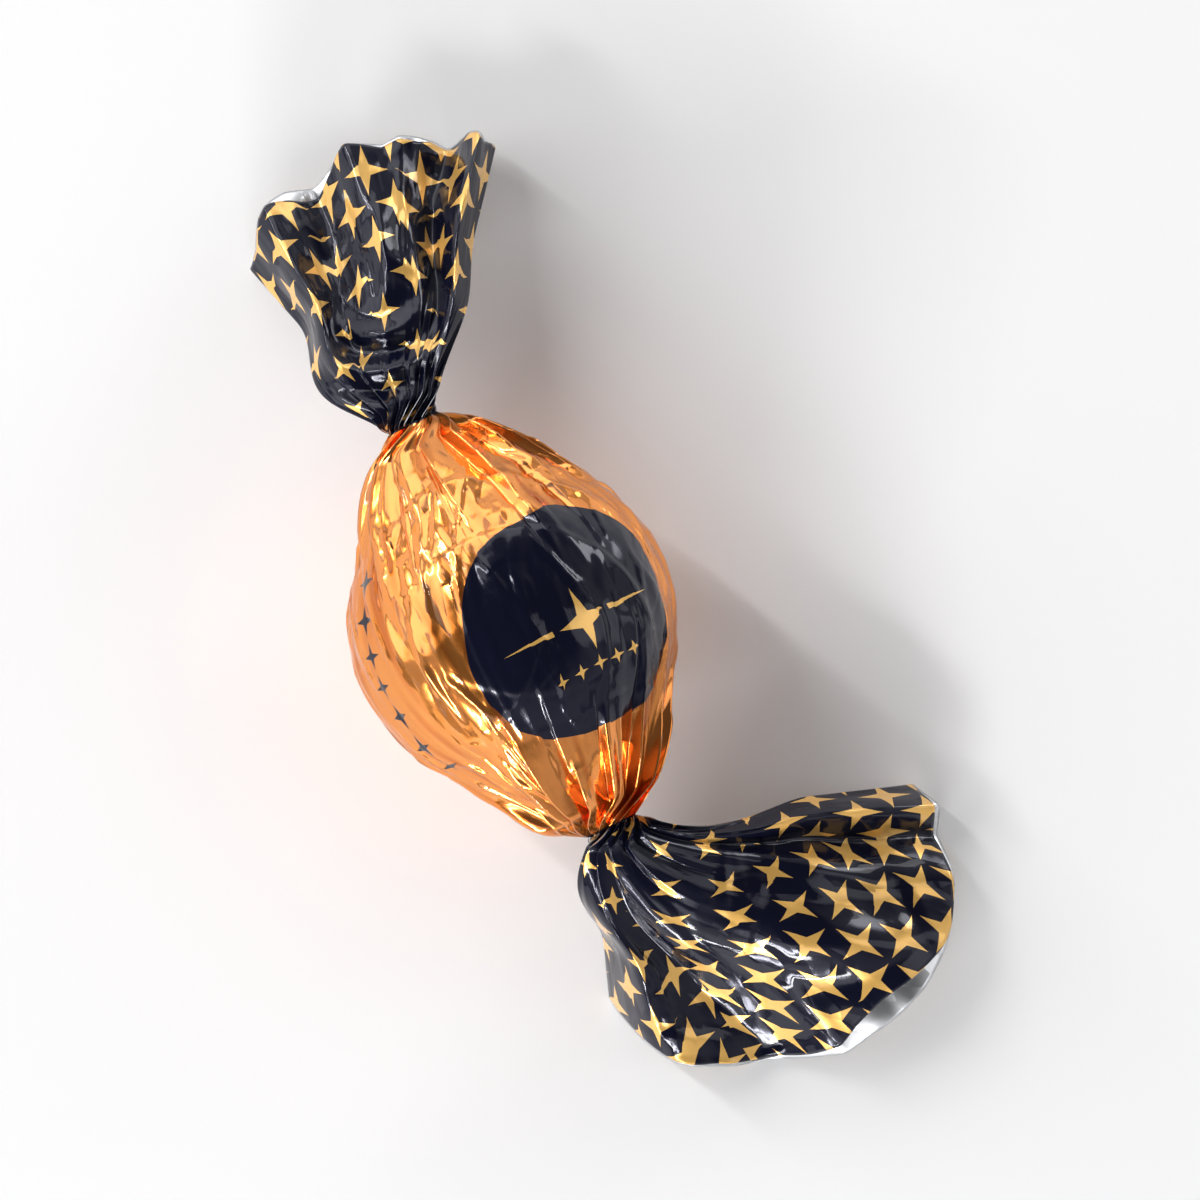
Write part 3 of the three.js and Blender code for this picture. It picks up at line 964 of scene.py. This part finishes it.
def fine_crumple(tree, shift, tilt, streak_height):
    """The normal, and the height of the streaks. The bump is streaks along the foil plus
    soft lumps plus a grain that makes the edges of highlights sparkle. Then each cell of a
    Voronoi pattern leans its own way, by its random colour less middle grey, which gives
    flat facets with sharp edges."""
    place = add_node(tree, "TexCoord", {}, output="Object")
    foil = vector_calc(tree, "ADD", map_place(tree, FOIL_MAP), (shift, shift, 0))
    along_foil = vector_calc(tree, "MULTIPLY", foil, (STREAK_STRETCH, 1, 1))
    streaks = noise(tree, along_foil, STREAKS_PER_MM, 3, "RIDGED_MULTIFRACTAL")
    lumps = calc(tree, "MULTIPLY", noise(tree, place, LUMPS_PER_METRE, 3), LUMP_HEIGHT)
    height = calc(tree, "MULTIPLY_ADD", streaks, streak_height, lumps)
    grain = noise(tree, place, GRAIN_PER_METRE, 1)
    height = calc(tree, "MULTIPLY_ADD", grain, GRAIN_HEIGHT, height)
    bumped = add_node(tree, "Bump", {"Strength": BUMP_STRENGTH, "Distance": BUMP_DEPTH * MM,
                                     "Height": height})
    stretched = vector_calc(tree, "MULTIPLY", foil, (FACET_STRETCH, 1, 1))
    cells = {"Scale": FACETS_PER_MM, "Vector": stretched}
    random_colour = add_node(tree, "TexVoronoi", cells, output="Color")
    lean = vector_calc(tree, "SUBTRACT", random_colour, (0.5, 0.5, 0.5))
    lean = vector_calc(tree, "SCALE", lean, tilt)
    leaning = vector_calc(tree, "ADD", bumped, lean)
    return vector_calc(tree, "NORMALIZE", leaning), streaks


print("finest facets", round(1 / FACETS_PER_MM, 1), "mm wide")

# %% [markdown]
# ## Lacquer, ink and gold
# Orange lacquer is clear, so the foil under it stays a mirror, tinted. Navy ink is thick: no
# metal shows, only its gloss. Gold is printed metal, a little duller. Three materials would
# need the print cut into the mesh. One Principled shader can be all three, when its colour,
# metal and roughness follow the print. Along the bump's streaks the orange is painted darker
# and deeper: painted shade in the creases.

# %% Which ink or lacquer covers a place


def print_masks(tree):
    """Each mask is 0 or 1. The navy band starts at a distance from the ball's middle, and the
    disc is a circle. Gold is a star in the band or the ornament on the disc, and inked is
    navy that no gold covers."""
    along, q, _ = split_up(tree, map_place(tree, PRINT_MAP))
    out = calc(tree, "ABSOLUTE", along)
    p = calc(tree, "SUBTRACT", along, DISC_ALONG)
    in_band = calc(tree, "GREATER_THAN", out, BAND_START)
    squares = calc(tree, "ADD", calc(tree, "MULTIPLY", p, p), calc(tree, "MULTIPLY", q, q))
    in_disc = calc(tree, "LESS_THAN", squares, DISC_RADIUS**2)
    navy = calc(tree, "MAXIMUM", in_disc, in_band)
    navy = calc(tree, "MAXIMUM", navy, side_row(tree, along, q))
    stars = calc(tree, "MULTIPLY", star_rows(tree, out, q), in_band)
    ornament = calc(tree, "MULTIPLY", disc_ornament(tree, p, q), in_disc)
    gold = calc(tree, "MAXIMUM", stars, ornament)
    inked = calc(tree, "MULTIPLY", navy, calc(tree, "SUBTRACT", 1, gold))
    return in_band, in_disc, navy, gold, inked


print("the navy band starts", BAND_START, "mm from the ball's middle")

# %% The printed side
CREASE_SHADE_STRENGTH = 2.5  # how fast the painted crease shade deepens the orange with a streak's height
FOIL_ROUGHNESS, GOLD_ROUGHNESS, INK_ROUGHNESS = 0.15, 0.27, 0.13
FOIL_COAT, INK_COAT = 0.75, 0.25
COAT_ROUGHNESS = 0.05
SPECULAR_LEVEL = 0.28


def new_material(name):
    """An empty material with one Principled shader."""
    material = bpy.data.materials.new(name)
    material.use_nodes = True
    return material, material.node_tree, material.node_tree.nodes["Principled BSDF"]


def stepped(tree, mask, base, step):
    """The base where the mask is 0, and the base plus the step where it is 1."""
    return calc(tree, "MULTIPLY_ADD", mask, step, base)


def printed_foil():
    """Most inputs of the shader have a base for the lacquered foil, and step up or down
    where gold or ink is. Painted shade darkens the orange along the streaks' creases."""
    material, tree, shader = new_material("printed_foil")
    in_band, in_disc, navy, gold, inked = print_masks(tree)
    tilt = stepped(tree, in_disc, FACET_TILT, DISC_TILT - FACET_TILT)
    streak_height = stepped(tree, in_band, BALL_STREAKS, FAN_STREAKS - BALL_STREAKS)
    normal, streaks = fine_crumple(tree, 0.0, tilt, streak_height)
    # Painted shade: where the streaks rise, the orange is mixed towards a darker, deeper orange.
    depth = calc(tree, "MULTIPLY", streaks, CREASE_SHADE_STRENGTH)
    lacquer = mixed(tree, depth, ORANGE, CREASE_SHADE_ORANGE)
    shiny = stepped(tree, gold, ORANGE_METALLIC, GOLD_METALLIC - ORANGE_METALLIC)
    rough = stepped(tree, gold, FOIL_ROUGHNESS, GOLD_ROUGHNESS - FOIL_ROUGHNESS)
    for name, value in {
        "Base Color": mixed(tree, gold, mixed(tree, navy, lacquer, NAVY), GOLD),
        "Metallic": calc(tree, "MULTIPLY", shiny, calc(tree, "SUBTRACT", 1, inked)),
        "Roughness": stepped(tree, inked, rough, INK_ROUGHNESS - FOIL_ROUGHNESS),
        "Normal": normal,
        "Specular Tint": mixed(tree, navy, ORANGE_SHEEN, INK_SHEEN),
        "Coat Weight": stepped(tree, inked, FOIL_COAT, INK_COAT - FOIL_COAT),
    }.items():
        tree.links.new(value, shader.inputs[name])
    shader.inputs["Specular IOR Level"].default_value = SPECULAR_LEVEL
    shader.inputs["Coat Roughness"].default_value = COAT_ROUGHNESS
    return material


print_side = printed_foil()
print(print_side.name, len(print_side.node_tree.nodes), "nodes")

# %% [markdown]
# ## The bare inside
# The foil's inside has neither lacquer nor ink. It is plain rolled aluminium, which is
# silver and duller than the outside. It gets the same crumple, moved along, so that the two
# sides don't match like prints of each other.

# %% The silver inside
BARE_ROUGHNESS = 0.34
BARE_SHIFT = 40.0  # mm that its crumple is moved along


def bare_foil():
    """The silver inside of the foil, duller than its printed side."""
    material, tree, shader = new_material("bare_foil")
    normal, _ = fine_crumple(tree, BARE_SHIFT, FACET_TILT, FAN_STREAKS)
    shader.inputs["Base Color"].default_value = SILVER
    shader.inputs["Metallic"].default_value = 1
    shader.inputs["Roughness"].default_value = BARE_ROUGHNESS
    tree.links.new(normal, shader.inputs["Normal"])
    return material


silver_side = bare_foil()
for piece in (body_foil, straight_fan, bent_fan):
    piece.data.materials.append(print_side)
    piece.data.materials.append(silver_side)
print(silver_side.name, len(silver_side.node_tree.nodes), "nodes")

# %% [markdown]
# ## Tying the pieces to the frame
# The real sweet moves as one piece, so all three skins ride on the root. Together they
# replace the plain solid, which has the same form but no crumples.

# %% Tie the pieces to the frame
for piece, slot in ((body_foil, "orange_foil"), (straight_fan, "star_foil"),
                    (bent_fan, "star_foil")):
    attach(piece, "root")
    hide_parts(CAD_NODE)
    print(piece.name, "is", slot)

# %% [markdown]
# ## Camera
# The ball lies with its disc up, so the camera looks straight down. It is turned so that the
# axis runs from the upper left to the lower right. A long lens keeps the ball round.

# %% Camera
PICTURE_TURN = np.radians(63.7)  # from the row's X axis to the picture's right
LENS_MM = 150.0
SENSOR_MM = 36.0
FILLED = 0.8  # share of the picture that the longer side of the object takes

right = np.array([np.cos(PICTURE_TURN), np.sin(PICTURE_TURN), 0])
up = np.array([-np.sin(PICTURE_TURN), np.cos(PICTURE_TURN), 0])
cad_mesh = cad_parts[CAD_NODE].data
corners = np.empty(len(cad_mesh.vertices) * 3, dtype=np.float32)
cad_mesh.vertices.foreach_get("co", corners)
corners = corners.reshape(-1, 3)
middles = [(corners @ axis).min() / 2 + (corners @ axis).max() / 2 for axis in (right, up)]
widest = max(np.ptp(corners @ right), np.ptp(corners @ up))
middle_height = BALL_HEIGHT * MM
distance = widest / FILLED * LENS_MM / SENSOR_MM
camera_data = bpy.data.cameras.new("camera")
camera_data.lens = LENS_MM
camera_data.sensor_width = SENSOR_MM
camera = bpy.data.objects.new("camera", camera_data)
above = np.array([0, 0, middle_height + distance])
camera.location = Vector(right * middles[0] + up * middles[1] + above)
camera.rotation_euler = (0, 0, PICTURE_TURN)
bpy.context.scene.collection.objects.link(camera)
bpy.context.scene.camera = camera
print("picture width", round(widest * 1000 / FILLED, 1), "mm")

# %% [markdown]
# ## Floor and light
# Foil is a mirror, so it looks like what is round it. One big lamp would leave it flat and
# pale. Broad soft lamps give its wide bright patches, narrow ones the thin sparkling lines,
# and the dark between them gives it depth.

# %% Floor
FLOOR_HALF = 4.0  # metres
FLOOR_Z = -0.00005  # just under the foil, so that the two don't share a plane
FLOOR_WHITE = (0.95, 0.95, 0.955, 1)
FLOOR_ROUGHNESS = 0.7

floor_mesh = bpy.data.meshes.new("floor")
floor_corners = [(x * FLOOR_HALF, y * FLOOR_HALF, FLOOR_Z)
                 for x, y in ((-1, -1), (1, -1), (1, 1), (-1, 1))]
floor_mesh.from_pydata(floor_corners, [], [(0, 1, 2, 3)])
floor = bpy.data.objects.new("floor", floor_mesh)
bpy.context.scene.collection.objects.link(floor)
floor_material, _, floor_shader = new_material("floor")
floor_shader.inputs["Base Color"].default_value = FLOOR_WHITE
floor_shader.inputs["Roughness"].default_value = FLOOR_ROUGHNESS
floor_mesh.materials.append(floor_material)
print("floor", 2 * FLOOR_HALF, "m wide")

# %% Lamps
STUDIO = 2.0  # metres


def softbox(name, place, size, brightness):
    """An area lamp at a place given as picture right, picture up and height, turned to face
    the ball. Places and sizes are in units of the studio's size, because a lamp twice as far
    and twice as large looks the same in the foil, but lights more of the floor. Watts are
    brightness times pi times the lamp's area."""
    lamp = bpy.data.lights.new(name, "AREA")
    lamp.shape = "RECTANGLE"
    lamp.size, lamp.size_y = (side * STUDIO for side in size)
    lamp.energy = brightness * np.pi * lamp.size * lamp.size_y
    holder = bpy.data.objects.new(name, lamp)
    spot = STUDIO * (right * place[0] + up * place[1] + np.array([0, 0, place[2]]))
    holder.location = Vector(spot)
    target = Vector((0, 0, middle_height))
    holder.rotation_euler = (target - holder.location).to_track_quat("-Z", "Y").to_euler()
    bpy.context.scene.collection.objects.link(holder)
    print(name, round(lamp.energy, 1), "W")


# The name, the place, the width and height, and the brightness.
softbox("left_key", (-0.56, 0.18, 0.3), (0.7, 0.5), 1.78)
softbox("right_fill", (0.55, 0.0, 0.35), (0.25, 0.4), 1.1)
softbox("right_window", (0.55, 0.5, 0.13), (0.26, 0.24), 6)
softbox("top_back", (-0.12, 0.6, 0.22), (0.5, 0.38), 1.8)
softbox("low_front", (-0.1, -0.55, 0.28), (0.5, 0.2), 1.5)
softbox("left_strip", (-0.5, 0.4, 0.4), (0.03, 0.5), 40)
softbox("low_strip", (-0.3, -0.5, 0.29), (0.35, 0.03), 50)
softbox("front_strip", (-0.03, -0.62, 0.16), (0.26, 0.03), 80)

# %% [markdown]
# ## Surroundings
# What no lamp covers, the foil takes from the studio's walls. A picture of a studio would
# need a file, and one even grey would give no shape to the sides. A ramp by height is
# enough: a dark horizon, pale walls and a dark ceiling.

# %% Surroundings
# The height of a direction, from 0 at the horizon to 1 overhead, and the brightness there.
WALLS = ((0.04, 0.16), (0.14, 0.58), (0.42, 0.46), (0.75, 0.08))
COOLNESS = 1.02  # how much more blue there is than red and green


def surroundings():
    """Brightness by the height of the direction: dark at the horizon, pale above it where
    the studio's walls are lit, and dark again overhead."""
    world = bpy.data.worlds.new("studio")
    bpy.context.scene.world = world
    world.use_nodes = True
    tree = world.node_tree
    direction = add_node(tree, "TexCoord", {}, output="Generated")
    by_height = add_node(tree, "ValToRGB", {0: split_up(tree, direction)["Z"]})
    elements = by_height.node.color_ramp.elements
    while len(elements) < len(WALLS):
        elements.new(0.5)
    for element, (height, brightness) in zip(elements, WALLS):
        element.position = height
        element.color = (brightness, brightness, COOLNESS * brightness, 1)
    tree.links.new(by_height, tree.nodes["Background"].inputs["Color"])
    print("walls", [brightness for _, brightness in WALLS], "from the horizon up")


surroundings()
bpy.context.scene.view_settings.view_transform = "Standard"
